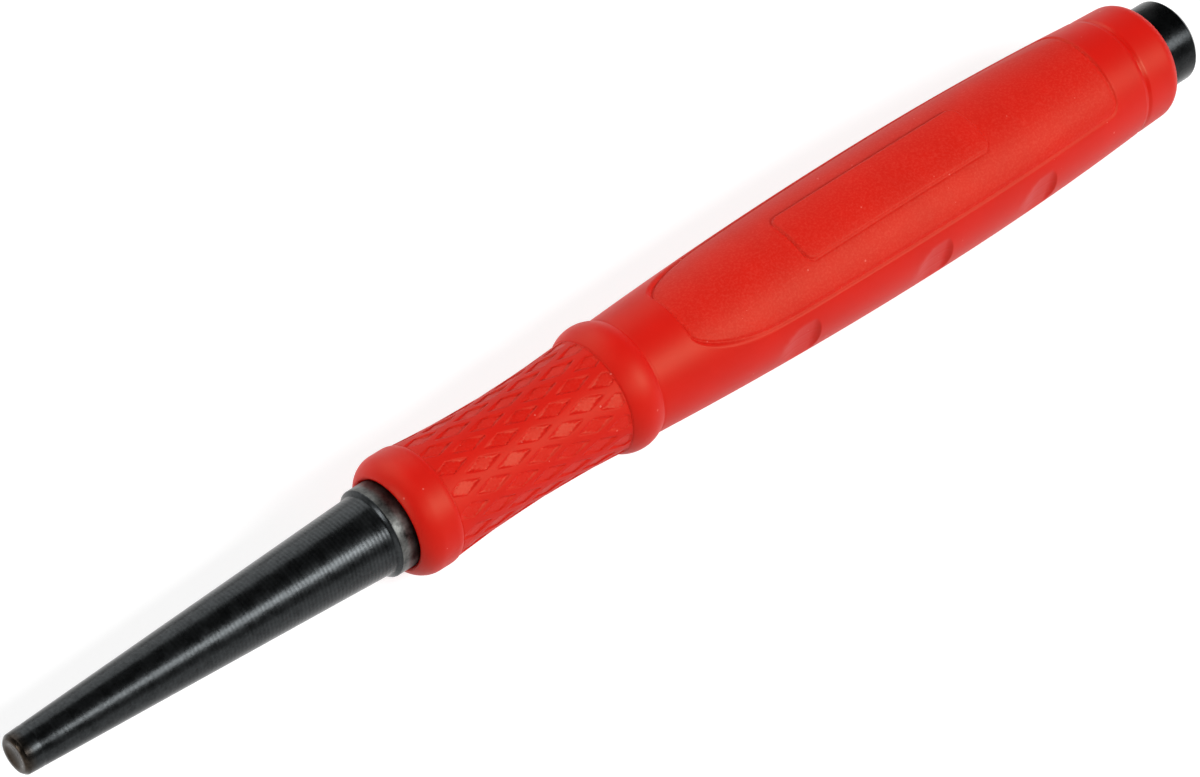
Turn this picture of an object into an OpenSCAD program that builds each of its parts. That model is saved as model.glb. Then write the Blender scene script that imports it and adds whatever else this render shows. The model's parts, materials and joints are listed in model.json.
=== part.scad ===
// Nail setter: a turned steel punch with a soft grip moulded round its shank.
// It lies along X with the tip towards -X and the striking face towards +X, and a finger panel of the
// grip faces straight up. Sizes are in millimetres. A station is a distance from the tip along the axis.

/* [Punch] */
// Length from the tip to the striking face
overall_l = 150; // [140:1:180]
// Diameter of the tip
tip_d = 4.15; // [2:0.05:5.5]
// Bevel round the edge of the tip
tip_bevel = 0.35; // [0.1:0.05:0.5]
// Diameter of the cup in the end of the tip
cup_d = 2.6; // [1:0.1:3]
// Depth of the cup
cup_depth = 0.3; // [0.1:0.05:0.6]
// Length of the tapered nose
nose_l = 41; // [34:0.5:46]
// Diameter of the nose where it reaches the collar
nose_end_d = 8.26; // [6.5:0.02:8.8]
// Length of the bevel from the nose up to the bar
collar_bevel = 0.3; // [0.1:0.05:1]
// Diameter of the bar, which shows as the collar and the head
bar_d = 9.2; // [8.9:0.05:10]
// Bevel round the striking face
head_bevel = 0.6; // [0.2:0.1:1.5]

/* [Shank inside the grip] */
// How far the shank lies below the bar, which holds the grip between two shoulders
shank_step = 0.4; // [0.2:0.05:1]

/* [Grip ends] */
// Bare steel in front of the grip, from the end of the nose
collar_l = 2.2; // [1:0.1:5]
// Bare steel behind the grip
head_l = 4.5; // [3:0.1:10]
// Radius of the flare where the bar enters the grip
mouth_round = 0.35; // [0.1:0.05:0.6]
// Diameter of the front lip
lip_d = 12.57; // [12:0.01:13.4]
// Length of the front lip
lip_l = 4.3; // [3.6:0.1:6]
// Radius of the front of the lip
lip_round = 2.4; // [1.8:0.1:2.6]
// Radius of the back of the lip
lip_back_round = 2; // [1:0.1:3]
// Height of the lip over the end of the waist
lip_back_h = 0.19; // [0.1:0.01:0.4]
// Length of the band behind the rear groove
band_l = 4.9; // [4:0.1:7]
// Diameter of the front of that band
band_front_d = 13.32; // [12.8:0.02:13.8]
// How far the band's radius falls on its way to the rear end
band_fall = 0.13; // [0:0.01:0.3]
// Radius of the rear end
end_round = 1.8; // [1:0.1:1.8]
// Width of the rear groove
rear_groove_w = 0.6; // [0.3:0.05:1]
// Depth of the rear groove, under the front of the band
rear_groove_depth = 0.2; // [0.1:0.02:0.4]

/* [Waist] */
// Length of the waist
waist_l = 21.2; // [16:0.1:24]
// How far the waist hollows in at its middle
waist_hollow = 0.45; // [0.2:0.01:0.6]
// Height of the ring over the end of the waist
ring_h = 0.73; // [0.3:0.01:1]
// Height of the ring over the front of the body
ring_back_h = 0.52; // [0.2:0.01:0.8]
// Radius of the ring's bead
ring_round = 3.5; // [2:0.1:6]

/* [Diamond pockets] */
// Pockets in one row round the waist
pocket_count = 16; // [10:1:20]
// Distance between rows that lie in line
pocket_pitch = 6.3; // [4:0.1:9]
// Share of its diamond cell that a pocket takes
pocket_share = 0.65; // [0.4:0.05:0.85]
// Depth of a pocket
pocket_depth = 0.13; // [0.08:0.01:0.3]
// How far the pattern's middle lies behind the waist's middle
pocket_shift = 0.4; // [-0.6:0.1:0.6]
// Plain margin at each end of the pattern
pocket_margin = 0.05; // [0.05:0.05:0.5]
// How far the pattern turns round the waist from its front to its rear, in degrees
pocket_twist = 7.5; // [-15:0.5:15]

/* [Body] */
// Largest diameter of the body
body_d = 15.24; // [14.6:0.02:17]
// Where the body is widest, as a share of its length from the ring
crest_share = 0.582; // [0.45:0.002:0.7]
// How far the body's radius falls from its widest place to the rear groove
body_fall = 0.93; // [0.6:0.01:1.1]

/* [Finger panels] */
// From the ring to the front edge of a panel
panel_start_l = 5.1; // [3:0.1:8]
// From the rear edge of a panel to the rear groove
panel_end_l = 4.4; // [3:0.1:8]
// Angle from the middle of a panel to each side, in degrees
panel_half_angle = 56.25; // [45:0.25:62]
// Width of the straight part of the front edge
panel_flat_w = 4.8; // [3:0.1:7]
// Length of the long round corners at the front
panel_corner_l = 13; // [6:0.5:20]
// Radius of the rear corners
panel_rear_round = 1.2; // [0.5:0.1:2]
// Depth of the panel's middle line at its front edge
panel_front_depth = 0.5; // [0.3:0.05:0.7]
// Depth of the panel's middle line halfway
panel_mid_depth = 0.56; // [0.45:0.01:0.7]
// Depth of the panel's middle line at its rear edge
panel_rear_depth = 0.22; // [0.15:0.01:0.35]
// How far the panel's round lies below the punch's axis, which makes the panel flatter than the body
panel_drop = 1.1; // [0.6:0.05:1.3]

/* [Raised pad on the upper panel] */
// Length of the pad
pad_l = 25.2; // [15:0.2:30]
// Width of the pad
pad_w = 6; // [4:0.1:7]
// Height of the pad over the panel
pad_h = 0.25; // [0.1:0.05:0.4]
// Radius of the pad's corners
pad_round = 1; // [0.4:0.1:1.9]
// Where the middle of the pad lies, as a share of the panel's length from its front edge
pad_middle_share = 0.491; // [0.45:0.001:0.6]

/* [Thumb notches on the sides] */
// Where the rear wall of each notch lies, as shares of the body's length from the ring
notch_shares = [0.288, 0.56, 0.778]; // [0.1:0.002:0.9]
// Length of a notch
notch_l = 5; // [3:0.1:7]
// Length of the slope down to the floor of a notch
notch_slope_l = 1.6; // [0.5:0.1:2.5]
// Depth of the floor of a notch
notch_depth = 0.7; // [0.3:0.05:0.8]

/* [Underside] */
// How far the level flat that the tool lies on cuts into the ring
rest_depth = 0.06; // [0.03:0.01:0.15]

/* [Hidden] */
$fn = 96;
// Straight runs that stand for each curve of an outline
curve_steps = 12;
// How far a cut runs past the surface that it opens
overrun = 0.5;

bar_r = bar_d / 2;
shank_r = bar_r - shank_step;
lip_r = lip_d / 2;
waist_end_r = lip_r - lip_back_h;
waist_r = waist_end_r - waist_hollow;
ring_r = waist_end_r + ring_h;
body_front_r = ring_r - ring_back_h;
body_r = body_d / 2;
band_front_r = band_front_d / 2;
band_rear_r = band_front_r - band_fall;
mouth_r = bar_r + mouth_round;

// The reach along the axis of a round of radius r, from its top to a place that lies fall below the top
function reach(r, fall) = sqrt(2 * r * fall - fall * fall);

// Stations along the grip, from its front
grip_front = nose_l + collar_l;
grip_end = overall_l - head_l;
lip_centre = grip_front + reach(lip_round, lip_r - mouth_r);
waist_front = grip_front + lip_l;
waist_end = waist_front + waist_l;
ring_station = waist_end + reach(ring_round, ring_h);
body_front = ring_station + reach(ring_round, ring_back_h);
band_front = grip_end - band_l;
body_end = band_front - rear_groove_w;
body_l = body_end - body_front;
crest = body_front + body_l * crest_share;
panel_front = body_front + panel_start_l;
panel_end = body_end - panel_end_l;
panel_l = panel_end - panel_front;
pad_middle = panel_front + panel_l * pad_middle_share;

// The radius of an arc whose top lies fall above its end, at a run along the axis
function crown_radius(run, fall) = (run * run + fall * fall) / (2 * fall);

// How far such an arc lies below its top, at a distance from the top
function crown_fall(distance, run, fall) =
    let (r = crown_radius(run, fall))
    r - sqrt(r * r - distance * distance);

// The radius of the body before any panel is cut, at a station
function body_radius(s) =
    s < crest
    ? body_r - crown_fall(crest - s, crest - body_front, body_r - body_front_r)
    : body_r - crown_fall(s - crest, body_end - crest, body_fall);

// The radius of the waist before any pocket is cut, at a station
waist_middle = (waist_front + waist_end) / 2;
function waist_radius(s) = waist_r + crown_fall(s - waist_middle, waist_l / 2, waist_hollow);

// Even steps from one value to another, with both ends
function steps(from, to, count) = [for (i = [0 : count]) from + (to - from) * i / count];

// The shank that both pieces share, from the back of the mouth's flare to the head
shank_front = grip_front + mouth_round;
shank_points = [[shank_r, shank_front], [shank_r, grip_end]];

punch_outline = concat(
    [
        [0, 0],
        [tip_d / 2 - tip_bevel, 0],
        [tip_d / 2, tip_bevel],
        [nose_end_d / 2, nose_l],
        [bar_r, nose_l + collar_bevel],
        [bar_r, grip_front]
    ],
    shank_points,
    [
        [bar_r, grip_end],
        [bar_r, overall_l - head_bevel],
        [bar_r - head_bevel, overall_l],
        [0, overall_l]
    ]
);

// The arcs of the grip's outline, as points of radius and station from the front to the rear
mouth_arc = [
    for (a = steps(0, 90, curve_steps / 2))
        [mouth_r - mouth_round * cos(a), shank_front - mouth_round * sin(a)]
];
lip_front_arc = [
    for (s = steps(grip_front, lip_centre, curve_steps))
        [lip_r - lip_round + sqrt(lip_round * lip_round - pow(lip_centre - s, 2)), s]
];
lip_back_reach = reach(lip_back_round, lip_back_h);
lip_back_arc = [
    for (s = steps(waist_front - lip_back_reach, waist_front, curve_steps / 2))
        let (from_top = s - waist_front + lip_back_reach)
        [lip_r - lip_back_round + sqrt(pow(lip_back_round, 2) - pow(from_top, 2)), s]
];
waist_arc = [for (s = steps(waist_front, waist_end, curve_steps)) [waist_radius(s), s]];
ring_arc = [
    for (s = steps(waist_end, body_front, curve_steps))
        [ring_r - ring_round + sqrt(ring_round * ring_round - pow(s - ring_station, 2)), s]
];
body_front_arc = [for (s = steps(body_front, crest, curve_steps)) [body_radius(s), s]];
body_rear_arc = [for (s = steps(crest, body_end, curve_steps)) [body_radius(s), s]];
rear_groove = [
    [band_front_r - rear_groove_depth, body_end],
    [band_front_r - rear_groove_depth, band_front]
];
end_arc = [
    for (a = steps(90, 0, curve_steps / 2))
        [band_rear_r - end_round + end_round * sin(a), grip_end - end_round + end_round * cos(a)]
];

// Points without the one at an end, where the next arc starts on that same point
function without_last(points) = [for (i = [0 : len(points) - 2]) points[i]];
function without_first(points) = [for (i = [1 : len(points) - 1]) points[i]];
function reversed(points) = [for (i = [len(points) - 1 : -1 : 0]) points[i]];

grip_outline = concat(
    without_last(mouth_arc),
    lip_front_arc,
    without_last(lip_back_arc),
    without_last(waist_arc),
    without_last(ring_arc),
    without_last(body_front_arc),
    body_rear_arc,
    rear_groove,
    [[band_front_r, band_front]],
    end_arc,
    reversed(shank_points)
);

// A solid of revolution about X from an outline of radius and station
module turned(outline) {
    rotate([0, 90, 0])
        rotate_extrude()
            polygon(outline);
}

module punch_steel() {
    cup_r = cup_d / 2;
    cup_sphere_r = crown_radius(cup_r, cup_depth);
    difference() {
        turned(punch_outline);
        translate([cup_depth - cup_sphere_r, 0, 0]) sphere(r = cup_sphere_r);
    }
}

// The diamond cell that one pocket sits in, as half its length and half its width
cell_half_l = pocket_pitch / 2;
cell_half_w = PI * waist_r / pocket_count;
field_front = waist_front + pocket_margin;
field_end = waist_end - pocket_margin;

// A pocket's outline along the axis and round it, cut square where it runs past the end of the field
function pocket_outline(middle) =
    let (
        half_l = cell_half_l * pocket_share,
        half_w = cell_half_w * pocket_share,
        front_cut_w = half_w * (1 - (middle - field_front) / half_l),
        end_cut_w = half_w * (1 - (field_end - middle) / half_l)
    )
    concat(
        front_cut_w > 0
            ? [[field_front, -front_cut_w], [field_front, front_cut_w]]
            : [[middle - half_l, 0]],
        [[middle, half_w]],
        end_cut_w > 0
            ? [[field_end, end_cut_w], [field_end, -end_cut_w]]
            : [[middle + half_l, 0]],
        [[middle, -half_w]]
    );

// Rows on both sides of the pattern's middle, with every other row turned by half a cell
pattern_middle = waist_middle + pocket_shift;
row_reach = ceil(waist_l / pocket_pitch);
pocket_rows = [
    for (row = [-row_reach : row_reach])
        let (middle = pattern_middle + row * cell_half_l)
        if (middle > field_front && middle < field_end) row
];

module diamond_pockets() {
    step_angle = 360 / pocket_count;
    difference() {
        for (row = pocket_rows, i = [0 : pocket_count - 1]) {
            middle = pattern_middle + row * cell_half_l;
            turn = pocket_twist * (middle - waist_front) / waist_l;
            rotate([(i + (row % 2 == 0 ? 0 : 0.5)) * step_angle + turn, 0, 0])
                translate([0, 0, bar_r])
                    linear_extrude(lip_r - bar_r)
                        polygon(pocket_outline(middle));
        }
        turned(concat(
            [[0, waist_front]],
            [for (p = waist_arc) [p[0] - pocket_depth, p[1]]],
            [[0, waist_end]]
        ));
    }
}

// The middle line of a panel is one arc through its depths at the front edge, halfway and at the rear edge
panel_middle = (panel_front + panel_end) / 2;
panel_half_l = panel_l / 2;
panel_front_r = body_radius(panel_front) - panel_front_depth;
panel_mid_r = body_radius(panel_middle) - panel_mid_depth;
panel_rear_r = body_radius(panel_end) - panel_rear_depth;
panel_sag = panel_mid_r - (panel_front_r + panel_rear_r) / 2;
panel_slope = (panel_rear_r - panel_front_r) / panel_l;
function panel_radius(s) =
    let (share = (s - panel_middle) / panel_half_l)
    panel_mid_r + panel_slope * (s - panel_middle) - panel_sag * share * share;

// The round floor of a panel, raised by a height, about an axis below the punch's own
panel_stations = steps(panel_front - overrun, panel_end + overrun, curve_steps);
module panel_floor(height) {
    translate([0, 0, -panel_drop])
        turned(concat(
            [[0, panel_front - overrun]],
            [for (s = panel_stations) [panel_radius(s) + panel_drop + height, s]],
            [[0, panel_end + overrun]]
        ));
}

// Half the width of the panel seen square on, which follows the body at a constant angle
function panel_side(s) = body_radius(s) * sin(panel_half_angle);

panel_corner_end = panel_front + panel_corner_l;
panel_round_start = panel_end - panel_rear_round;
panel_half_outline = concat(
    [
        for (a = steps(0, 90, curve_steps))
            let (s = panel_front + panel_corner_l * (1 - cos(a)))
            [s, panel_flat_w / 2 + (panel_side(s) - panel_flat_w / 2) * sin(a)]
    ],
    [
        for (s = without_first(without_last(steps(panel_corner_end, panel_round_start, curve_steps))))
            [s, panel_side(s)]
    ],
    [
        for (a = steps(0, 90, curve_steps / 2))
            [
                panel_round_start + panel_rear_round * sin(a),
                panel_side(panel_round_start) - panel_rear_round * (1 - cos(a))
            ]
    ]
);
panel_outline = concat(panel_half_outline, [for (p = reversed(panel_half_outline)) [p[0], -p[1]]]);

pad_outline = [
    for (corner = [[1, 1], [-1, 1], [-1, -1], [1, -1]], a = steps(0, 90, curve_steps / 3))
        let (turn = corner[0] * corner[1] > 0 ? a : 90 - a)
        [
            pad_middle + corner[0] * (pad_l / 2 - pad_round + pad_round * cos(turn)),
            corner[1] * (pad_w / 2 - pad_round + pad_round * sin(turn))
        ]
];

module panel_cut(pad) {
    difference() {
        linear_extrude(body_r + overrun) polygon(panel_outline);
        if (pad) {
            panel_floor(0);
            intersection() {
                linear_extrude(body_r + overrun) polygon(pad_outline);
                panel_floor(pad_h);
            }
        } else {
            // In flat facets, which the level flat on the underside cuts cleanly
            hull() panel_floor(0);
        }
    }
}

// A notch slopes down to a level floor and ends in a square wall, the same from top to bottom
module notch_cut(share) {
    wall = body_front + body_l * share;
    front = wall - notch_l;
    slope_end = front + notch_slope_l;
    outer = body_r + overrun;
    translate([0, 0, -body_r])
        linear_extrude(2 * body_r)
            polygon([
                [front, body_radius(front)],
                [slope_end, body_radius(slope_end) - notch_depth],
                [wall, body_radius(wall) - notch_depth],
                [wall, outer],
                [front, outer]
            ]);
}

// The level flat on the underside runs over the ring and the crown of the lower panel
lowest_r = ring_r - rest_depth;
module rest_cut() {
    translate([grip_front, -body_r, -lowest_r - body_r])
        cube([grip_end - grip_front, body_d, body_r]);
}

module grip_moulding() {
    difference() {
        turned(grip_outline);
        diamond_pockets();
        panel_cut(true);
        mirror([0, 0, 1]) panel_cut(false);
        for (side = [0, 1], share = notch_shares)
            mirror([0, side, 0]) notch_cut(share);
        rest_cut();
    }
}

// The part rests on its lower side, with the middle of its length over the origin
module lying() {
    translate([-overall_l / 2, 0, lowest_r]) children();
}

module punch() {
    color("#2b2c2f") lying() punch_steel();
}

module grip() {
    color("#d8281c") lying() grip_moulding();
}

punch();
grip();
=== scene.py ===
import json
import math

import bmesh
import bpy
from mathutils import Matrix, Vector


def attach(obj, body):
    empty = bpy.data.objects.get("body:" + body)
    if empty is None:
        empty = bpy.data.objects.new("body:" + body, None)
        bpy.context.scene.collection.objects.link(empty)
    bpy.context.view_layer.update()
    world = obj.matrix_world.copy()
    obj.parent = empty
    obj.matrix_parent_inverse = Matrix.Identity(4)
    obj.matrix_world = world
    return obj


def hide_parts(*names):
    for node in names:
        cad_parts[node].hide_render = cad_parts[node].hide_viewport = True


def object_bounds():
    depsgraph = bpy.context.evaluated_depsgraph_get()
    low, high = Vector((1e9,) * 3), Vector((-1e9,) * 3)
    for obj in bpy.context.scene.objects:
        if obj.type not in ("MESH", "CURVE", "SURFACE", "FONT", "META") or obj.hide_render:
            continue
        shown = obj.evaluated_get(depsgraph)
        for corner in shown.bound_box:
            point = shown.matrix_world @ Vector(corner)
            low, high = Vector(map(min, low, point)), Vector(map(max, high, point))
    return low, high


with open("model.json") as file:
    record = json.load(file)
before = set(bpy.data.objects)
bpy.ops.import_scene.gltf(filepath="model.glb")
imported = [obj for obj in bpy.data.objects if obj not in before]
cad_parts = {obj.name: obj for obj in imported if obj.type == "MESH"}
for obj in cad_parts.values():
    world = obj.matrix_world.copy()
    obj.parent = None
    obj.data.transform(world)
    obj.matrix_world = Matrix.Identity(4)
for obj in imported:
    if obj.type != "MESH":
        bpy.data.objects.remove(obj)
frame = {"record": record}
cadLow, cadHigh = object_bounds()
scene = bpy.context.scene
mm = 0.001
weld = 0.0004 * mm  # points of a mesh that lie closer than this become one
slack = 0.01  # room for rounding in a station, a radius or a count
probe = 0.1  # mm over which a slope is measured
leastCosine = 0.1  # keeps a level's radius within bounds where the level turns away
noiseLow, noiseHigh = 0.3, 0.7  # nearly all of a noise texture lies between these
axisHeight = frame["record"]["mounts"][0]["pos_m"][2]  # the punch's axis over the table
tipX = cadLow.x  # a station is a distance in mm from the tip along the axis
print("frame loaded, axis at", round(axisHeight / mm, 3), "mm")


def linearColour(hexCode):  # sRGB to linear light
    parts = [int(hexCode[i:i + 2], 16) / 255 for i in (1, 3, 5)]
    return tuple(p / 12.92 if p <= 0.04045 else ((p + 0.055) / 1.055) ** 2.4 for p in parts) + (1,)


def addNode(tree, kind, inputs=None, **settings):
    node = tree.nodes.new(kind)
    for name, value in settings.items():
        setattr(node, name, value)
    for key, value in (inputs or {}).items():
        if isinstance(value, bpy.types.NodeSocket):
            tree.links.new(value, node.inputs[key])
        else:
            node.inputs[key].default_value = value
    return node


def newMaterial(name):
    material = bpy.data.materials.new(name)
    material.use_nodes = True
    tree = material.node_tree
    tree.nodes.clear()
    return material, tree


def spread(start, end, count):
    return [start + (end - start) * i / count for i in range(count + 1)]


def smooth(low, high, value):
    t = min(1, max(0, (value - low) / (high - low)))
    return t * t * (3 - 2 * t)


# an outline of (station, radius) points in mm, spun about the punch's axis into a closed shape
def spinOutline(points, steps, closed):
    bm = bmesh.new()
    verts = [bm.verts.new((tipX + s * mm, 0, axisHeight + r * mm)) for s, r in points]
    pairs = list(zip(verts, verts[1:])) + ([(verts[-1], verts[0])] if closed else [])
    edges = [bm.edges.new(pair) for pair in pairs]
    bmesh.ops.spin(bm, geom=verts + edges, cent=(0, 0, axisHeight), axis=(1, 0, 0), angle=math.tau,
                   steps=steps, use_merge=True)
    bmesh.ops.remove_doubles(bm, verts=bm.verts, dist=weld)
    bmesh.ops.recalc_face_normals(bm, faces=bm.faces)
    return bm


def finishPiece(bm, name, material, node):
    mesh = bpy.data.meshes.new(name)
    bm.to_mesh(mesh)
    bm.free()
    mesh.polygons.foreach_set("use_smooth", [True] * len(mesh.polygons))
    mesh.materials.append(material)
    piece = bpy.data.objects.new(name, mesh)
    scene.collection.objects.link(piece)
    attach(piece, "root")
    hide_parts(node)
    triangles = sum(len(p.vertices) - 2 for p in mesh.polygons)
    print(name, "has", triangles, "triangles")
    return piece


# turned tool steel with a black oxide finish: near black, a soft sheen that runs along the bar in one
# streak, and the lathe's feed marks across it
def makeBlackOxideSteel():
    look = dict(
        base="#2d2f30",
        bare="#5a5b59",  # the oxide is thin on the collar, where the grip's mould closed on the bar
        brown="#33291f",  # and it turns brown on the worn end of the tip
        roughness=0.28,
        bareRoughness=0.42,
        # partly painted shade: the head is drawn blacker than the nose, which also dims the key box's
        # streak on it
        headPaintedShade=0.6,  # the head, which is all that shows behind the middle, is blacker than the nose, partly as painted shade
        feedPitch=0.42,  # mm between the lathe's marks, drawn about twice as coarse as they are, to show
        feedHeight=0.006,
        feedShade=0.4,  # how much paler the crest of a mark is than its foot, near the collar
        feedFrom=12,  # mm from the tip, where the marks start to get stronger
        feedFull=41,
        feedLeast=0.2,  # their strength ahead of there
        mottle=1.3,  # mm across a patch of thinner oxide
        mottleShade=0.25,  # how far a patch changes the colour of the black bar
        collarShade=0.6,  # and of the collar
        mottleDull=0.05,  # and how far it changes the roughness
        darkest=0.15,  # the least share of its colour that a dark patch keeps
        pit=0.3,  # mm across the grit of the oxide
        pitShade=0.25,
        pitHeight=0.6,  # as a share of the feed marks' height
        tipWear=1.2,  # mm of the tip that have turned brown
        tipBrown=0.8,
    )
    waveRate = 20  # radians that a wave texture of scale 1 goes through in a metre
    material, tree = newMaterial("black_oxide_steel")
    place = addNode(tree, "ShaderNodeTexCoord").outputs["Object"]
    along = addNode(tree, "ShaderNodeSeparateXYZ", {0: place}).outputs["X"]
    thin = addNode(tree, "ShaderNodeAttribute", attribute_name="thinOxide").outputs["Fac"]
    patches = addNode(tree, "ShaderNodeTexNoise", {
        "Vector": place, "Scale": 1 / (look["mottle"] * mm), "Detail": 5, "Roughness": 0.6})
    pits = addNode(tree, "ShaderNodeTexNoise", {
        "Vector": place, "Scale": 1 / (look["pit"] * mm), "Detail": 3, "Roughness": 0.55})
    marks = addNode(tree, "ShaderNodeTexWave", {
        "Vector": place, "Scale": math.tau / (waveRate * look["feedPitch"] * mm), "Distortion": 1.2,
        "Detail": 2, "Detail Scale": 0.8}, wave_type="BANDS", bands_direction="X")
    nearCollar = addNode(tree, "ShaderNodeMapRange", {
        "Value": along, "From Min": tipX + look["feedFrom"] * mm, "From Max": tipX + look["feedFull"] * mm,
        "To Min": look["feedLeast"], "To Max": 1})
    onHead = addNode(tree, "ShaderNodeMath", {0: along, 1: 0}, operation="GREATER_THAN")
    plain = addNode(tree, "ShaderNodeMath", {0: thin, 1: onHead.outputs[0]}, operation="MAXIMUM")
    turned = addNode(tree, "ShaderNodeMath", {
        0: nearCollar.outputs["Result"], 1: plain.outputs[0]}, operation="SUBTRACT", use_clamp=True)
    markHeight = addNode(tree, "ShaderNodeMath", {
        0: marks.outputs["Fac"], 1: turned.outputs[0]}, operation="MULTIPLY")
    height = addNode(tree, "ShaderNodeMath", {
        0: pits.outputs["Fac"], 1: look["pitHeight"], 2: markHeight.outputs[0]}, operation="MULTIPLY_ADD")
    bump = addNode(tree, "ShaderNodeBump", {
        "Height": height.outputs[0], "Distance": look["feedHeight"] * mm, "Strength": 1})
    nearTip = addNode(tree, "ShaderNodeMapRange", {
        "Value": along, "From Min": tipX, "From Max": tipX + look["tipWear"] * mm,
        "To Min": look["tipBrown"], "To Max": 0})
    worn = addNode(tree, "ShaderNodeMix", {
        "Factor": nearTip.outputs["Result"], "A": linearColour(look["base"]),
        "B": linearColour(look["brown"])}, data_type="RGBA")
    rubbed = addNode(tree, "ShaderNodeMix", {
        "Factor": thin, "A": worn.outputs["Result"], "B": linearColour(look["bare"])}, data_type="RGBA")
    contrast = addNode(tree, "ShaderNodeMapRange", {
        "Value": thin, "To Min": look["mottleShade"], "To Max": look["collarShade"]})
    patchShade = addNode(tree, "ShaderNodeMapRange", {
        "Value": patches.outputs["Fac"], "From Min": noiseLow, "From Max": noiseHigh,
        "To Min": -1, "To Max": 1})
    pitShade = addNode(tree, "ShaderNodeMapRange", {
        "Value": pits.outputs["Fac"], "From Min": noiseLow, "From Max": noiseHigh,
        "To Min": 1 - look["pitShade"], "To Max": 1 + look["pitShade"]})
    markShade = addNode(tree, "ShaderNodeMath", {
        0: markHeight.outputs[0], 1: look["feedShade"], 2: pitShade.outputs["Result"]},
        operation="MULTIPLY_ADD")
    shade = addNode(tree, "ShaderNodeMath", {
        0: patchShade.outputs["Result"], 1: contrast.outputs["Result"], 2: markShade.outputs[0]},
        operation="MULTIPLY_ADD")
    level = addNode(tree, "ShaderNodeMath", {
        0: shade.outputs[0], 1: look["darkest"]}, operation="MAXIMUM")
    # painted shade: darkens the colour of everything behind the middle, which is the head, so that the key
    # box's streak there comes out dimmer
    paintedHeadShade = addNode(tree, "ShaderNodeMapRange", {
        "Value": onHead.outputs[0], "To Min": 1, "To Max": look["headPaintedShade"]})
    evened = addNode(tree, "ShaderNodeMath", {
        0: level.outputs[0], 1: paintedHeadShade.outputs["Result"]}, operation="MULTIPLY")
    tinted = addNode(tree, "ShaderNodeVectorMath", {
        0: rubbed.outputs["Result"], "Scale": evened.outputs[0]}, operation="SCALE")
    dullness = addNode(tree, "ShaderNodeMapRange", {
        "Value": thin, "To Min": look["roughness"], "To Max": look["bareRoughness"]})
    dull = addNode(tree, "ShaderNodeMath", {
        0: patchShade.outputs["Result"], 1: look["mottleDull"], 2: dullness.outputs["Result"]},
        operation="MULTIPLY_ADD")
    shader = addNode(tree, "ShaderNodeBsdfPrincipled", {
        "Base Color": tinted.outputs["Vector"], "Metallic": 1, "Roughness": dull.outputs[0],
        "Normal": bump.outputs["Normal"]})
    addNode(tree, "ShaderNodeOutputMaterial", {"Surface": shader.outputs["BSDF"]})
    return material


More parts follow.
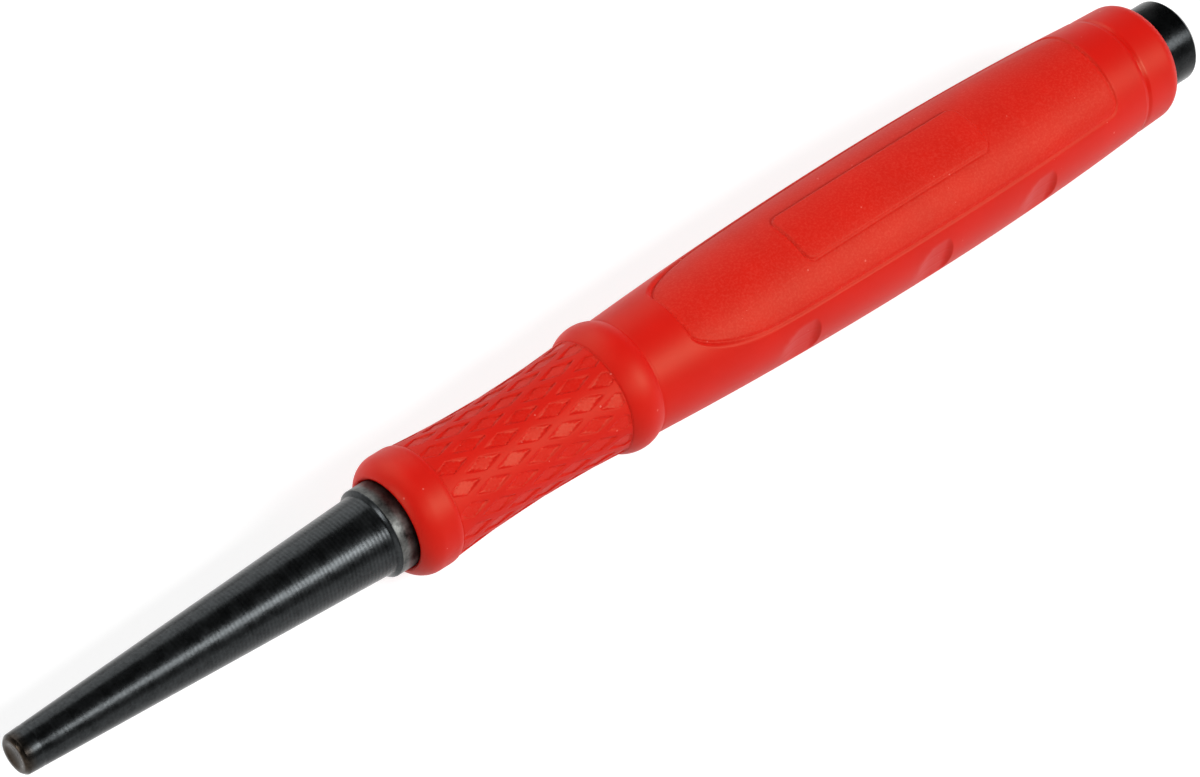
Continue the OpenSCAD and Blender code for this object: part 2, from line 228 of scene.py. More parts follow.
# moulded thermoplastic rubber: a deep even red with a soft sheen, and a spark-eroded grain in the panels
# and pockets that scatters the light and makes them paler
def makeRedRubber():
    look = dict(
        base="#cf110a",
        grained="#cf160c",
        crest="#e4584a",  # the raised grains catch the light
        dust="#eb8478",
        sheen="#fffac6",  # the rubber's own glow warms the light that it throws back
        specular=0.25,
        grain=0.24,  # mm across one grain of the mould's texture
        grainHeight=0.014,
        crestFrom=0.45,  # the share of a grain's height above which it gets paler
        crestFull=0.75,
        crestShare=0.24,
        skin=0.8,  # mm across the slow waviness of the smooth surfaces
        skinHeight=0.006,
        skinStrength=0.8,
        patch=6,  # mm across the slow changes of the red
        patchShade=0.04,
        dustPitch=0.9,  # mm between the places where a speck of dust may lie
        dustFrom=0.86,  # the share of these places that stay clean
        dustSize=0.13,  # of the largest speck, as a share of the pitch
        dustShare=0.4,
        leastRoughness=0.3,
        mostRoughness=0.64,
    )
    material, tree = newMaterial("moulded_red_rubber")
    place = addNode(tree, "ShaderNodeTexCoord").outputs["Object"]
    mask = addNode(tree, "ShaderNodeAttribute", attribute_name="grain").outputs["Fac"]
    matt = addNode(tree, "ShaderNodeAttribute", attribute_name="matt").outputs["Fac"]
    grain = addNode(tree, "ShaderNodeTexNoise", {
        "Vector": place, "Scale": 1 / (look["grain"] * mm), "Detail": 4, "Roughness": 0.65})
    skin = addNode(tree, "ShaderNodeTexNoise", {
        "Vector": place, "Scale": 1 / (look["skin"] * mm), "Detail": 5, "Roughness": 0.6})
    patches = addNode(tree, "ShaderNodeTexNoise", {
        "Vector": place, "Scale": 1 / (look["patch"] * mm), "Detail": 3})
    grainBump = addNode(tree, "ShaderNodeBump", {
        "Height": grain.outputs["Fac"], "Distance": look["grainHeight"] * mm, "Strength": mask})
    bump = addNode(tree, "ShaderNodeBump", {
        "Height": skin.outputs["Fac"], "Distance": look["skinHeight"] * mm,
        "Strength": look["skinStrength"], "Normal": grainBump.outputs["Normal"]})
    red = addNode(tree, "ShaderNodeMix", {
        "Factor": mask, "A": linearColour(look["base"]), "B": linearColour(look["grained"])},
        data_type="RGBA")
    shade = addNode(tree, "ShaderNodeMapRange", {
        "Value": patches.outputs["Fac"], "From Min": noiseLow, "From Max": noiseHigh,
        "To Min": 1 - look["patchShade"], "To Max": 1 + look["patchShade"]})
    raised = addNode(tree, "ShaderNodeMapRange", {
        "Value": grain.outputs["Fac"], "From Min": look["crestFrom"], "From Max": look["crestFull"],
        "To Min": 0, "To Max": look["crestShare"]})
    raisedShare = addNode(tree, "ShaderNodeMath", {
        0: raised.outputs["Result"], 1: mask}, operation="MULTIPLY")
    grainy = addNode(tree, "ShaderNodeMix", {
        "Factor": raisedShare.outputs[0], "A": red.outputs["Result"], "B": linearColour(look["crest"])},
        data_type="RGBA")
    varied = addNode(tree, "ShaderNodeVectorMath", {
        0: grainy.outputs["Result"], "Scale": shade.outputs["Result"]}, operation="SCALE")
    spots = addNode(tree, "ShaderNodeTexVoronoi", {
        "Vector": place, "Scale": 1 / (look["dustPitch"] * mm)}, feature="F1")
    chance = addNode(tree, "ShaderNodeSeparateColor", {"Color": spots.outputs["Color"]})
    dustRadius = addNode(tree, "ShaderNodeMapRange", {
        "Value": chance.outputs["Red"], "From Min": look["dustFrom"], "From Max": 1,
        "To Min": 0, "To Max": look["dustSize"]})
    isDust = addNode(tree, "ShaderNodeMath", {
        0: spots.outputs["Distance"], 1: dustRadius.outputs["Result"]}, operation="LESS_THAN")
    dustShare = addNode(tree, "ShaderNodeMath", {
        0: isDust.outputs[0], 1: look["dustShare"]}, operation="MULTIPLY")
    dusty = addNode(tree, "ShaderNodeMix", {
        "Factor": dustShare.outputs[0], "A": varied.outputs["Vector"], "B": linearColour(look["dust"])},
        data_type="RGBA")
    dull = addNode(tree, "ShaderNodeMapRange", {
        "Value": matt, "To Min": look["leastRoughness"], "To Max": look["mostRoughness"]})
    shader = addNode(tree, "ShaderNodeBsdfPrincipled", {
        "Base Color": dusty.outputs["Result"], "Roughness": dull.outputs["Result"], "IOR": 1.5,
        "Specular IOR Level": look["specular"], "Specular Tint": linearColour(look["sheen"]),
        "Normal": bump.outputs["Normal"]})
    addNode(tree, "ShaderNodeOutputMaterial", {"Surface": shader.outputs["BSDF"]})
    return material


blackOxideSteel = makeBlackOxideSteel()
redRubber = makeRedRubber()
print("materials made")


# punch: one turned bar from the cupped tip to the striking face
punchSizes = dict(
    length=150, tip=2.075, tipBevel=0.35, cup=1.3, cupDepth=0.3, noseLength=41, noseEnd=4.13, shoulder=0.3,
    bar=4.6, shank=4.2, shankFront=43.55, headStart=145.5, headBevel=0.6,
    mark=1.95, markWidth=0.16, markDepth=0.018,  # the faint ring that the lathe left behind the tip
    markShape=((-1, 0), (-0.4, 1), (0.4, 1), (1, 0)),  # in shares of the ring's width and depth
    plainNose=5,  # from here to its end the nose has even rings
    shoulderLean=0.02,  # of the step down to the shank
    edgeRound=0.1, roundSteps=3, cupSteps=6, noseSteps=12, steps=192,
    nearCorner=0.002,  # a point closer than this lies on a corner
)


def makePunch(p):
    cupRadius = (p["cup"] ** 2 + p["cupDepth"] ** 2) / (2 * p["cupDepth"])
    cupArc = [(math.sqrt(cupRadius ** 2 - r * r) - cupRadius + p["cupDepth"], r)
              for r in spread(0, p["cup"], p["cupSteps"])]

    def noseRadius(s):
        share = (s - p["tipBevel"]) / (p["noseLength"] - p["tipBevel"])
        return p["tip"] + (p["noseEnd"] - p["tip"]) * share

    mark = [(p["mark"] + offset * p["markWidth"], noseRadius(p["mark"]) - depth * p["markDepth"])
            for offset, depth in p["markShape"]]
    nose = [(s, noseRadius(s)) for s in spread(p["plainNose"], p["noseLength"], p["noseSteps"])]
    points = cupArc + [(0, p["tip"] - p["tipBevel"]), (p["tipBevel"], p["tip"])] + mark + nose + [
        (p["noseLength"] + p["shoulder"], p["bar"]),
        (p["shankFront"] - p["shoulderLean"], p["bar"]),
        (p["shankFront"], p["shank"]),
        (p["headStart"], p["shank"]),
        (p["headStart"], p["bar"]),
        (p["length"] - p["headBevel"], p["bar"]),
        (p["length"], p["bar"] - p["headBevel"]),
        (p["length"], 0),
    ]
    bm = spinOutline(points, p["steps"], False)
    rounded = [(0, p["cup"]), (0, p["tip"] - p["tipBevel"]), (p["tipBevel"], p["tip"]),
               (p["noseLength"], p["noseEnd"]), (p["noseLength"] + p["shoulder"], p["bar"]),
               (p["length"] - p["headBevel"], p["bar"]), (p["length"], p["bar"] - p["headBevel"])]

    def onCorner(v, corner):
        station = (v.co.x - tipX) / mm
        radius = math.hypot(v.co.y, v.co.z - axisHeight) / mm
        return max(abs(station - corner[0]), abs(radius - corner[1])) < p["nearCorner"]

    edges = [e for e in bm.edges if any(all(onCorner(v, c) for v in e.verts) for c in rounded)]
    bmesh.ops.bevel(bm, geom=edges, offset=p["edgeRound"] * mm, offset_type="OFFSET", affect="EDGES",
                    segments=p["roundSteps"], profile=0.5, material=-1)
    bmesh.ops.recalc_face_normals(bm, faces=bm.faces)
    thinOxide = bm.verts.layers.float.new("thinOxide")
    for v in bm.verts:
        s = (v.co.x - tipX) / mm
        if p["noseLength"] + p["shoulder"] + p["edgeRound"] / 2 < s < p["shankFront"]:
            v[thinOxide] = 1
    piece = finishPiece(bm, "punch_bar", blackOxideSteel, "punch")
    # keeps the long taper free of soft shading
    even = piece.modifiers.new("even_normals", "WEIGHTED_NORMAL")
    even.keep_sharp = True


makePunch(punchSizes)


# grip: one moulding round the shank, spun first and then pressed into its relief column by column
gripSizes = dict(
    front=43.2, end=145.5, bore=4.2, boreFront=43.55, mouth=4.95, mouthRound=0.35,
    lip=6.285, lipRound=2.4, lipLength=4.3, lipFlat=0.6, lipBackRound=2, lipBackHeight=0.19,
    waistLength=21.2, waistHollow=0.45, ringHeight=0.73, ringBackHeight=0.52, ringRound=3.5,
    body=7.62, crestShare=0.582, bodyFall=0.93,
    bandLength=4.9, bandRadius=6.66, bandFall=0.13, grooveWidth=0.6, grooveDepth=0.14, endRound=1.8,
    grooveFall=0.45, grooveFoot=0.04, grooveClimb=0.62,  # from the body's end to its start, foot and end
    crease=0.18, creaseWidth=0.07,  # the mould leaves a fine crease in front of the ring
    softCrease=0.04,  # and fainter ones behind the ring and the lip
    columns=288,
)
pocketSizes = dict(
    count=16, pitch=6.3, shift=0.4, margin=0.05, depth=0.13, twist=7.5,
    untwist=0.1,  # mm ahead of the ring's two edges, where the pattern's turn starts to fade and is gone
    moat=0.055,  # a pocket's floor dips along its wall, which draws the pocket's outline
    rings=9,  # steps of the mesh from a pocket's middle to the edge of its cell
    floorRing=5,  # the wall stands between this step and the next
    ringShares=(0, 0.16, 0.32, 0.46, 0.57, 0.618, 0.645, 0.69, 0.84, 1),  # where each step lies in the cell
    inCell=0.9999,  # a place on the very edge of its cell is in no pocket
    mostRows=40,  # rows of the mesh each way from the pattern's middle, before its ends cut them off
    frontRows=(-0.02, 0.07), rearRows=(-0.07, 0.01),  # and the rows at its two ends
    clearRow=0.1,  # which the others stay clear of
)
panelSizes = dict(
    startLength=5.1, endLength=4.4, halfAngle=60, flatWidth=5.4, cornerLength=9, rearRound=1.2,
    frontDepth=0.5, midDepth=0.56, rearDepth=0.22, drop=1.1,
    leastDepth=0.09,  # the floor stays this far below the body
    frontWall=0.3, sideWall=0.12, rearWall=0.18, wallOut=0.25,
    frontHold=4, rearHold=3, wallFade=14,  # mm from its ends, where their walls start and stop narrowing
    mostWallAngle=9,
    snug=1.02,  # brings the foot of the wall all the way down
    columnEase=4.2,  # past its ends the mesh's columns swing back over this length
    crease=0.16, creaseWidth=0.15,  # the fine line at the foot of the panel's wall
    creaseFade=24, creaseFaint=3,  # mm from its rear end, between which the line gets faint and wide
    creaseLoss=0.55,
)
padSizes = dict(
    length=25.2, width=6, height=0.24, round=1, middleShare=0.491, wall=0.08,
    wallLift=0.1,  # from the panel's middle line to the middle of the pad's wall
    crease=0.08, creaseWidth=0.15,  # the panel dips along the foot of the pad's wall
    columnNear=0.6, columnFar=4,  # past its ends the mesh's columns leave its sides between these
)
notchSizes = dict(
    shares=(0.297, 0.564, 0.789), length=5, slope=2.6, depth=0.45, soft=0.06, fillet=0.9,
    lead=0.25,  # the share of the slope that would lie ahead of the notch, cut off to give it a front edge
    seam=83.75, seamHeight=0.02,  # the mould's parting line, which shows only in the notches
)
# rows of the mesh in mm from the edge that each list is named for, and counts of rows in the plain forms
gripRows = dict(
    bodyFront=(0.12, 0.35, 0.8, 1.5, 2.3, 3.1, 3.9, 4.5),
    panelFront=(-0.32, -0.14, -0.04, 0.02, 0.08, 0.15, 0.22, 0.3, 0.38, 0.55, 0.8, 1.1, 1.45, 1.9),
    pad=(-0.3, -0.14, -0.05, 0.05, 0.14, 0.24, 0.35, 0.48, 0.62, 0.78, 0.97),  # inwards from its two ends
    notch=(-0.95, -0.7, -0.5, -0.34, -0.21, -0.12, -0.06, -0.02, 0.03, 0.12, 0.4),
    panelEnd=(-1.25, -1, -0.75, -0.52, -0.34, -0.21, -0.12, -0.06, 0.05, 0.13, 0.3, 0.7, 1.3, 2, 2.8, 3.4,
              3.75, 3.9),
    band=(0.3, 0.9, 1.8, 2.6),
    evenFront=2.4, evenRear=1.7, evenCount=74,  # from the panel's two ends to the even rows between them
    evenGap=0.3,  # which stay this far from the rows of the pad and the notches
    mouth=6, lip=14, lipBack=7, ring=22, grooveFall=9, grooveClimb=10, end=12,
    grooveTurn=0.06,  # mm from the last row of the fall to the first of the climb
)
# how matt each surface came out of the mould, and how much of its grain it took, from 0 to 1
gripFinish = dict(
    plain=0.52, groove=0.05, ridges=0.74,
    floorGloss=0.3,  # a pocket's floor is glossier than the ridges round it by this
    floorGrain=0.6,
    panelMatt=0.2,  # a panel's floor is more matt than the plain rubber by this
)


def reach(radius, fall):
    return math.sqrt(2 * radius * fall - fall * fall)


def arcFall(distance, run, fall):
    radius = (run * run + fall * fall) / (2 * fall)
    return radius - math.sqrt(radius * radius - distance * distance)


g, panel, pad, notch, pocket = gripSizes, panelSizes, padSizes, notchSizes, pocketSizes
waistFront = g["front"] + g["lipLength"]
waistEnd = waistFront + g["waistLength"]
waistMiddle = (waistFront + waistEnd) / 2
fieldFront = waistFront + pocket["margin"]  # the pockets lie between here and fieldEnd
fieldEnd = waistEnd - pocket["margin"]
patternMiddle = waistMiddle + pocket["shift"]
halfCell = pocket["pitch"] / 2  # mm from a cell's middle to its ends
halfTurn = 180 / pocket["count"]  # and degrees to its sides
waistEndRadius = g["lip"] - g["lipBackHeight"]
waistRadius = waistEndRadius - g["waistHollow"]
ringRadius = waistEndRadius + g["ringHeight"]
ringStation = waistEnd + reach(g["ringRound"], g["ringHeight"])
bodyFront = ringStation + reach(g["ringRound"], g["ringBackHeight"])
bodyFrontRadius = ringRadius - g["ringBackHeight"]
bandFront = g["end"] - g["bandLength"]
bodyEnd = bandFront - g["grooveWidth"]
grooveEnd = bodyEnd + g["grooveClimb"]
crest = bodyFront + (bodyEnd - bodyFront) * g["crestShare"]
panelFront = bodyFront + panel["startLength"]
panelEnd = bodyEnd - panel["endLength"]
panelLength = panelEnd - panelFront
padMiddle = panelFront + panelLength * pad["middleShare"]
notchWalls = [bodyFront + (bodyEnd - bodyFront) * share for share in notch["shares"]]
flatLevel = axisHeight / mm  # the level flat on the underside touches the table


def bodyRadius(s):
    if s < crest:
        return g["body"] - arcFall(crest - s, crest - bodyFront, g["body"] - bodyFrontRadius)
    return g["body"] - arcFall(s - crest, bodyEnd - crest, g["bodyFall"])


def panelLine(s):  # radius of the middle line of a panel
    middle = (panelFront + panelEnd) / 2
    front = bodyRadius(panelFront) - panel["frontDepth"]
    mid = bodyRadius(middle) - panel["midDepth"]
    rear = bodyRadius(panelEnd) - panel["rearDepth"]
    share = (s - middle) / (panelLength / 2)
    return mid + (rear - front) / 2 * share - (mid - (front + rear) / 2) * share * share


def panelFloor(s, turn):  # turn is the angle from the middle of the panel
    drop = panel["drop"]
    floor = math.sqrt((panelLine(s) + drop) ** 2 - (drop * math.sin(turn)) ** 2) - drop * math.cos(turn)
    return min(floor, bodyRadius(s) - panel["leastDepth"])


def panelEdge(s):  # angle from the middle of the panel to its outline, in degrees
    radius = bodyRadius(min(max(s, panelFront), panelEnd))
    side = radius * math.sin(math.radians(panel["halfAngle"]))
    flat = panel["flatWidth"] / 2
    fromFront = min(max(s - panelFront, 0), panel["cornerLength"])
    cosine = 1 - fromFront / panel["cornerLength"]
    width = flat + (side - flat) * math.sqrt(1 - cosine * cosine)
    fromRound = min(max(s - panelEnd + panel["rearRound"], 0), panel["rearRound"])
    width -= panel["rearRound"] - math.sqrt(panel["rearRound"] ** 2 - fromRound ** 2)
    edge = math.degrees(math.asin(width / radius))
    away = max(panelFront - s, s - panelEnd, 0)
    return edge + (panel["halfAngle"] - edge) * smooth(0, panel["columnEase"], away)


def panelWall(s):  # width of the panel's wall seen square on, wider at its two ends
    frontShare = smooth(panel["wallFade"], panel["frontHold"], s - panelFront)
    rearShare = smooth(panel["wallFade"], panel["rearHold"], panelEnd - s)
    atFront = (panel["frontWall"] - panel["sideWall"]) * frontShare
    atRear = (panel["rearWall"] - panel["sideWall"]) * rearShare
    return panel["sideWall"] + atFront + atRear


def waistArc(s):
    return waistRadius + arcFall(s - waistMiddle, g["waistLength"] / 2, g["waistHollow"])


def gripOutline():
    shoulder = math.asin((reach(g["lipRound"], g["lip"] - g["mouth"])) / g["lipRound"])
    lipCentre = g["front"] + g["lipRound"] * math.sin(shoulder)
    mouth = [(g["boreFront"] - g["mouthRound"] * math.sin(a), g["mouth"] - g["mouthRound"] * math.cos(a))
             for a in spread(0, math.pi / 2, gripRows["mouth"])]
    lip = [(lipCentre - g["lipRound"] * math.sin(a), g["lip"] - g["lipRound"] * (1 - math.cos(a)))
           for a in spread(shoulder, 0, gripRows["lip"])]
    lipBack = reach(g["lipBackRound"], g["lipBackHeight"])
    back = [(s, g["lip"] - g["lipBackRound"]
             + math.sqrt(g["lipBackRound"] ** 2 - (s - waistFront + lipBack) ** 2))
            for s in spread(waistFront - lipBack, waistFront, gripRows["lipBack"])]
    back[-1] = (waistFront, back[-1][1] - g["softCrease"])
    cell = halfCell / pocket["rings"]
    inner = [patternMiddle + k * cell for k in range(-pocket["mostRows"], pocket["mostRows"] + 1)]
    inner = [s for s in inner if fieldFront + pocket["clearRow"] < s < fieldEnd - pocket["clearRow"]]
    waistRows = [fieldFront + x for x in pocket["frontRows"]] + inner
    waistRows += [fieldEnd + x for x in pocket["rearRows"]]
    waist = [(s, waistArc(s)) for s in waistRows]
    ring = [(s, ringRadius - g["ringRound"] + math.sqrt(g["ringRound"] ** 2 - (s - ringStation) ** 2))
            for s in spread(waistEnd, bodyFront, gripRows["ring"])]
    rise = math.tan(math.asin(reach(g["ringRound"], g["ringHeight"]) / g["ringRound"]))
    ring.insert(1, (waistEnd + g["creaseWidth"], ring[0][1] + rise * g["creaseWidth"]))
    ring[0] = (waistEnd, ring[0][1] - g["crease"])
    ring[-1] = (bodyFront, ring[-1][1] - g["softCrease"])
    stations = [bodyFront + x for x in gripRows["bodyFront"]]
    stations += [panelFront + x for x in gripRows["panelFront"]]
    special = [padMiddle + side * (pad["length"] / 2 - x) for side in (-1, 1) for x in gripRows["pad"]]
    special += [wall + x for wall in notchWalls for x in gripRows["notch"]]
    evenFront, evenRear = panelFront + gripRows["evenFront"], panelEnd - gripRows["evenRear"]
    even = [s for s in spread(evenFront, evenRear, gripRows["evenCount"])
            if min(abs(s - x) for x in special) > gripRows["evenGap"]]
    stations += sorted(even + special)
    stations += [panelEnd + x for x in gripRows["panelEnd"]]
    body = [(s, bodyRadius(s)) for s in stations]
    grooveFront, grooveFoot = bodyEnd - g["grooveFall"], bodyEnd + g["grooveFoot"]
    groove = [(s, bodyRadius(min(s, bodyEnd)) - g["grooveDepth"] * smooth(grooveFront, grooveFoot, s))
              for s in spread(grooveFront, grooveFoot, gripRows["grooveFall"])]
    groove += [(s, g["bandRadius"] - g["grooveDepth"] * smooth(grooveEnd, grooveFoot, s))
               for s in spread(grooveFoot + gripRows["grooveTurn"], grooveEnd, gripRows["grooveClimb"])]
    bandRear = g["bandRadius"] - g["bandFall"]
    band = [(bandFront + x, g["bandRadius"] - g["bandFall"] * x / (g["bandLength"] - g["endRound"]))
            for x in gripRows["band"]]
    end = [(g["end"] - g["endRound"] * (1 - math.sin(a)), bandRear - g["endRound"] * (1 - math.cos(a)))
           for a in spread(0, math.pi / 2, gripRows["end"])]
    bore = [(g["end"], g["bore"]), (g["boreFront"], g["bore"])]
    front = bore + mouth + lip[1:] + [(lipCentre + g["lipFlat"], g["lip"])] + back
    return front + waist + ring + body + groove + band + end


def wallAngle(s):  # angle that the panel's wall takes up at a station, in degrees
    near = (s + probe / 2, s - probe / 2)
    ahead, behind = (bodyRadius(x) * math.sin(math.radians(panelEdge(x))) for x in near)
    lean = math.hypot(1, (ahead - behind) / probe)
    return min(math.degrees(panelWall(s) * lean / bodyRadius(s)), panel["mostWallAngle"])


# moves a column's angle so that whole columns of the mesh run along the panel's outline and the pad's sides
def columnAngle(t, s):
    edge = panelEdge(s)
    step = 360 / g["columns"]
    last = panel["halfAngle"] - step  # the column at the foot of the panel's wall
    if t > last + step / 2:
        top = edge + panel["wallOut"]
        return 90 - (90 - t) * (90 - top) / (90 - panel["halfAngle"])
    foot = edge - wallAngle(s)
    plain = t * foot / last
    padHalf = pad["length"] / 2
    share = smooth(padHalf + pad["columnFar"], padHalf + pad["columnNear"], abs(s - padMiddle))
    if share == 0:
        return plain
    side = math.degrees(math.asin(pad["width"] / 2 / (panelLine(s) + pad["wallLift"])))
    half = math.degrees(pad["wall"] / panelLine(s))
    near = round(side / step) * step
    if t < near + step / 2:
        fitted = t * (side - half) / near
    else:
        fitted = side + half + (t - near - step) * (foot - side - half) / (last - near - step)
    return plain + (fitted - plain) * share


def padHeight(s, across):
    dx = abs(s - padMiddle) - pad["length"] / 2 + pad["round"]
    dy = abs(across) - pad["width"] / 2 + pad["round"]
    outside = math.hypot(max(dx, 0), max(dy, 0)) + min(max(dx, dy), 0) - pad["round"]
    dip = pad["crease"] * max(1 - abs(outside - pad["wall"]) / pad["creaseWidth"], 0)
    return pad["height"] * smooth(pad["wall"], -pad["wall"], outside) - dip


def notchRadius(s, turn, radius):  # turn is the angle from the side of the grip
    for wall in notchWalls:
        front = wall - notch["length"]
        if front < s < wall:
            fall = smooth(-notch["lead"] * notch["slope"], notch["slope"], s - front)
            plane = bodyRadius(s) - notch["depth"] * fall
            climb = max(s - wall + notch["fillet"], 0) / notch["fillet"]
            plane += notch["depth"] * climb * climb
            cut = plane / max(math.cos(turn), leastCosine)
            gap = max(notch["soft"] - abs(cut - radius), 0) / notch["soft"]
            return min(cut, radius) - gap * gap * notch["soft"] / 4
    return radius


def panelInset(s, t):  # distance in mm from a place in the panel to its outline
    radius = bodyRadius(s)
    across = radius * math.sin(math.radians(t))
    toSide = radius * math.sin(math.radians(panelEdge(s))) - across
    flat = panel["flatWidth"] / 2
    side = radius * math.sin(math.radians(panel["halfAngle"]))
    bend = min(max((across - flat) / (side - flat), 0), 1)
    toFront = s - panelFront - panel["cornerLength"] * (1 - math.sqrt(1 - bend * bend))
    if toSide <= 0 or toFront <= 0:
        return 0
    return min(toSide * toFront / math.hypot(toSide, toFront), panelEnd - s)


def patternTurn(s):  # the pattern turns towards the right side on its way back, and the ring takes that up
    share = min(max(s - waistFront, 0), g["waistLength"]) / g["waistLength"]
    left = smooth(bodyFront - pocket["untwist"], waistEnd - pocket["untwist"], s)
    return -pocket["twist"] * share * left


# the pocket whose cell holds this place: its middle, and the place in shares of the cell from there
def findPocket(s, degrees):
    row = (s - patternMiddle) / halfCell
    for k in (math.floor(row), math.floor(row) + 1):
        around = degrees / halfTurn - k % 2
        around -= 2 * round(around / 2)
        centre = patternMiddle + k * halfCell
        inField = fieldFront < centre < fieldEnd and fieldFront < s < fieldEnd
        if inField and abs(row - k) + abs(around) < pocket["inCell"]:
            return centre, row - k, around
    return None


# presses one place of the waist into its pocket: each ring of the mesh goes to its share of the cell, and
# the rings inside the wall go down to a flat floor
def pressPocket(s, degrees):
    radius = waistArc(s)
    found = findPocket(s, degrees)
    if not found:
        return s, degrees, radius, 0
    centre, along, around = found
    ring = (abs(along) + abs(around)) * pocket["rings"]
    low = min(int(ring + slack), pocket["rings"] - 1)
    shares = pocket["ringShares"]
    share = shares[low] + (shares[low + 1] - shares[low]) * (ring - low)
    grow = share * pocket["rings"] / ring if ring > slack else 1
    degrees += around * halfTurn * (grow - 1)
    tipStation = centre + math.copysign(shares[pocket["floorRing"] + 1] * halfCell, along)
    if fieldFront < tipStation < fieldEnd:  # a pocket that the field's end cuts off keeps its end rows
        s += along * halfCell * (grow - 1)
    radius = waistArc(s)
    if ring > pocket["floorRing"] + 0.5:
        return s, degrees, radius, 0
    slope = (waistArc(centre + probe) - waistArc(centre - probe)) / (2 * probe)
    flat = waistArc(centre) - pocket["depth"] + slope * (s - centre)
    if ring > pocket["floorRing"] - 0.5:
        flat -= pocket["moat"]
    return s, degrees, flat / math.cos(math.radians(around * halfTurn * grow)), 1


def makeGrip():
    bm = spinOutline(gripOutline(), g["columns"], True)
    grained = bm.verts.layers.float.new("grain")
    matt = bm.verts.layers.float.new("matt")
    step = 360 / g["columns"]
    for v in bm.verts:
        s = (v.co.x - tipX) / mm
        inGroove = bodyEnd < s < grooveEnd - slack
        v[matt] = gripFinish["groove"] if inGroove else gripFinish["plain"]
        dy, dz = v.co.y, v.co.z - axisHeight
        radius = math.hypot(dy, dz) / mm
        if radius < g["mouth"] + slack or s < waistFront or s > bodyEnd:
            continue
        degrees = round(math.degrees(math.atan2(dy, dz)) / step) * step
        if s < waistEnd:
            s, degrees, radius, floorShare = pressPocket(s, degrees)
            v[grained] = gripFinish["floorGrain"] * floorShare
            v[matt] = gripFinish["ridges"] - gripFinish["floorGloss"] * floorShare
        if s < bodyFront:
            degrees += patternTurn(s)
            degrees -= 360 * round(degrees / 360)
        top = abs(degrees) <= 90
        t = abs(degrees) if top else 180 - abs(degrees)
        if s > bodyFront:
            column = t
            t = columnAngle(t, s)
            turn = math.radians(t)
            plain = radius
            radius = notchRadius(s, math.pi / 2 - turn, radius)
            if abs(column - notch["seam"]) < step / 2 and radius < plain - 2 * notch["seamHeight"]:
                radius += notch["seamHeight"]
            if panelFront < s < panelEnd and t < panelEdge(s):
                wall, inset = panelWall(s), panelInset(s, t)
                sunk = smooth(0, wall, inset * panel["snug"])
                radius += (panelFloor(s, turn) - radius) * sunk
                rear = smooth(panelEnd - panel["creaseFade"], panelEnd - panel["creaseFaint"], s)
                aside = (inset - wall) / (panel["creaseWidth"] * (1 + rear))
                radius -= panel["crease"] * (1 - panel["creaseLoss"] * rear) * max(1 - abs(aside), 0)
                v[grained] = sunk
                v[matt] = gripFinish["plain"] + gripFinish["panelMatt"] * sunk
                if top:
                    radius += padHeight(s, radius * math.sin(turn))
        turn = math.radians(t)
        if not top:
            radius = min(radius, flatLevel / max(math.cos(turn), leastCosine))
        way = math.copysign(1, degrees)
        v.co.x = tipX + s * mm
        v.co.y = way * radius * math.sin(turn) * mm
        v.co.z = axisHeight + (1 if top else -1) * radius * math.cos(turn) * mm
    bmesh.ops.triangulate(bm, faces=bm.faces, quad_method="SHORT_EDGE")
    finishPiece(bm, "grip_moulding", redRubber, "grip")


makeGrip()


# camera: the photograph's own viewing angle, from in front of the tip and above the right side
cameraSizes = dict(
    back=(-0.485, -0.3765, 0.7894),  # from the tool towards the camera
    axisInPicture=(0.849155, 0.528143),  # the tool's axis on the picture, to the right and up
    aim=70.17, distance=434.43, aside=-0.266, lens=135.51, sensor=36,
)


def makeCamera(c):
    back = Vector(c["back"]).normalized()
    along = (Vector((1, 0, 0)) - back.x * back).normalized()
    down = along.cross(back)
    right = c["axisInPicture"][0] * along + c["axisInPicture"][1] * down
    up = c["axisInPicture"][1] * along - c["axisInPicture"][0] * down
    camera = bpy.data.objects.new("camera", bpy.data.cameras.new("camera"))
    camera.data.lens = c["lens"]
    camera.data.sensor_width = c["sensor"]
    camera.data.clip_start, camera.data.clip_end = 0.01, 50
    aim = Vector((tipX + c["aim"] * mm, 0, axisHeight))
    place = aim + back * c["distance"] * mm + down * c["aside"] * mm
    turn = Matrix((right, up, back)).transposed()
    camera.matrix_world = Matrix.Translation(place) @ turn.to_4x4()
    scene.collection.objects.link(camera)
    scene.camera = camera


makeCamera(cameraSizes)
print("camera set")


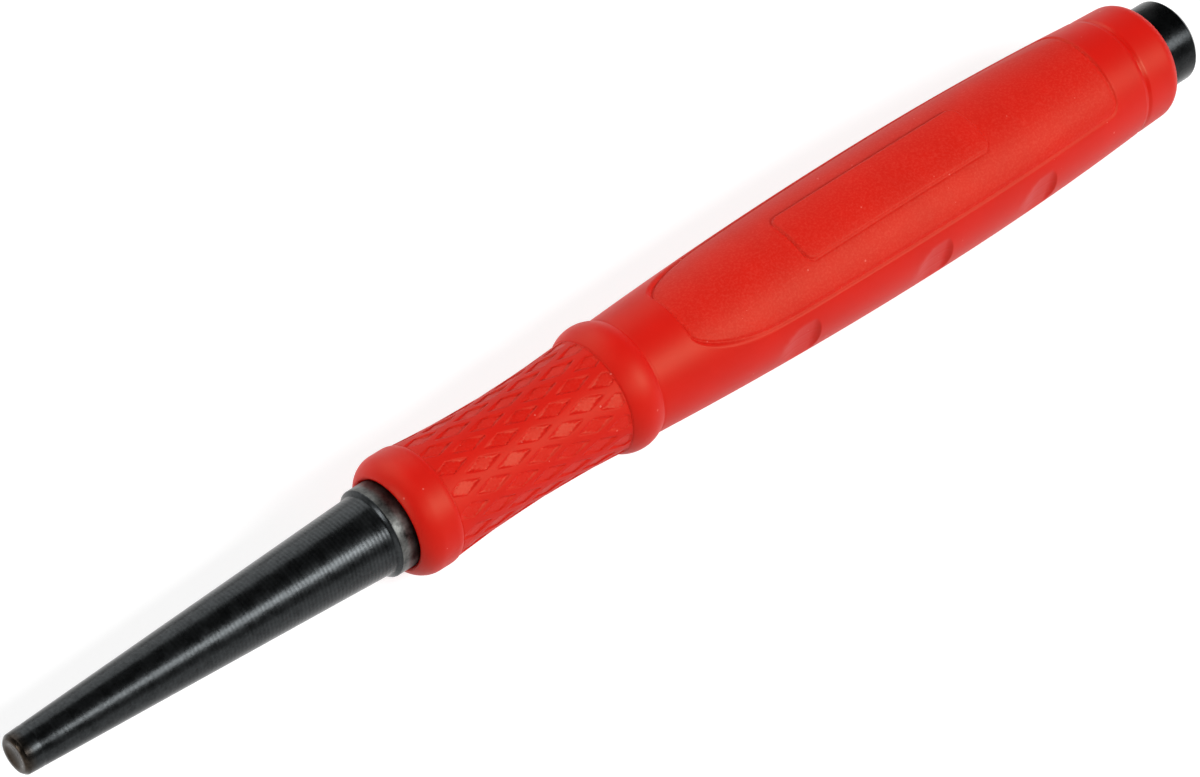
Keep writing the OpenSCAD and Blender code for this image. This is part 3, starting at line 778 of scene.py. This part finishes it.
# floor: a wide pale sheet, white where it is seen or mirrored, with the tool's soft shadow kept
def makeFloor():
    look = dict(
        size=3,
        colour="#bcbcbc",
        glow=0.7,  # brings the lit paper up to white
        under=0.02,  # mm below the tool, so that the two don't share a level
    )
    material, tree = newMaterial("pale_paper")
    path = addNode(tree, "ShaderNodeLightPath")
    seen = addNode(tree, "ShaderNodeMath", {
        0: path.outputs["Is Camera Ray"], 1: path.outputs["Is Glossy Ray"]}, operation="MAXIMUM")
    seenAll = addNode(tree, "ShaderNodeMath", {
        0: seen.outputs[0], 1: path.outputs["Is Transmission Ray"]}, operation="MAXIMUM")
    strength = addNode(tree, "ShaderNodeMath", {
        0: seenAll.outputs[0], 1: look["glow"]}, operation="MULTIPLY")
    paper = addNode(tree, "ShaderNodeBsdfDiffuse", {"Color": linearColour(look["colour"])})
    glow = addNode(tree, "ShaderNodeEmission", {"Color": (1, 1, 1, 1), "Strength": strength.outputs[0]})
    both = addNode(tree, "ShaderNodeAddShader", {0: paper.outputs[0], 1: glow.outputs[0]})
    addNode(tree, "ShaderNodeOutputMaterial", {"Surface": both.outputs[0]})
    bm = bmesh.new()
    bmesh.ops.create_grid(bm, x_segments=2, y_segments=2, size=look["size"])
    mesh = bpy.data.meshes.new("floor")
    bm.to_mesh(mesh)
    bm.free()
    mesh.materials.append(material)
    floor = bpy.data.objects.new("floor", mesh)
    floor.location.z = -look["under"] * mm
    scene.collection.objects.link(floor)


makeFloor()


# studio light: a key box on the right of the tool and a slimmer side box ahead of it, a broad box on the
# left, a fill overhead, a small box off the tip, and a room that is paler round the horizon
def makeLights():
    boxes = dict(
        key=dict(way=(0.42, -0.595, 0.641), distance=0.97, size=(0.56, 0.29), watts=6.9),
        side=dict(way=(-0.22, -0.605, 0.632), distance=0.9, size=(0.56, 0.22), watts=2.2),
        broad=dict(way=(-0.05, 0.78, 0.44), distance=0.95, size=(1.1, 0.8), watts=5.6),
        fill=dict(way=(-0.3, 0.3, 0.9), distance=1.0, size=(0.6, 0.6), watts=1.1),
        front=dict(way=(-0.965, 0.207, 0.15), distance=0.9, size=(0.16, 0.16), watts=1.7),
    )
    room = dict(pale=0.5, dim=0.08, paleTop=0.08, dimFrom=0.3)  # two strengths and the heights between them
    aim = Vector((0, 0, axisHeight))
    for name, box in boxes.items():
        lamp = bpy.data.lights.new(name, "AREA")
        lamp.shape = "RECTANGLE"
        lamp.size, lamp.size_y = box["size"]
        lamp.energy = box["watts"]
        way = Vector(box["way"]).normalized()
        level = Vector((1, 0, 0))
        side = (level - level.dot(way) * way).normalized()
        turn = Matrix((side, way.cross(side), way)).transposed()
        holder = bpy.data.objects.new(name, lamp)
        holder.matrix_world = Matrix.Translation(aim + way * box["distance"]) @ turn.to_4x4()
        scene.collection.objects.link(holder)
    world = bpy.data.worlds.new("pale_room")
    scene.world = world
    world.use_nodes = True
    tree = world.node_tree
    tree.nodes.clear()
    way = addNode(tree, "ShaderNodeTexCoord").outputs["Generated"]
    height = addNode(tree, "ShaderNodeSeparateXYZ", {0: way}).outputs["Z"]
    fade = addNode(tree, "ShaderNodeMapRange", {
        "Value": height, "From Min": room["paleTop"], "From Max": room["dimFrom"],
        "To Min": room["pale"], "To Max": room["dim"]})
    air = addNode(tree, "ShaderNodeBackground", {"Color": (1, 1, 1, 1), "Strength": fade.outputs["Result"]})
    addNode(tree, "ShaderNodeOutputWorld", {"Surface": air.outputs[0]})


makeLights()
scene.view_settings.view_transform = "Standard"
print("stage and lights set")
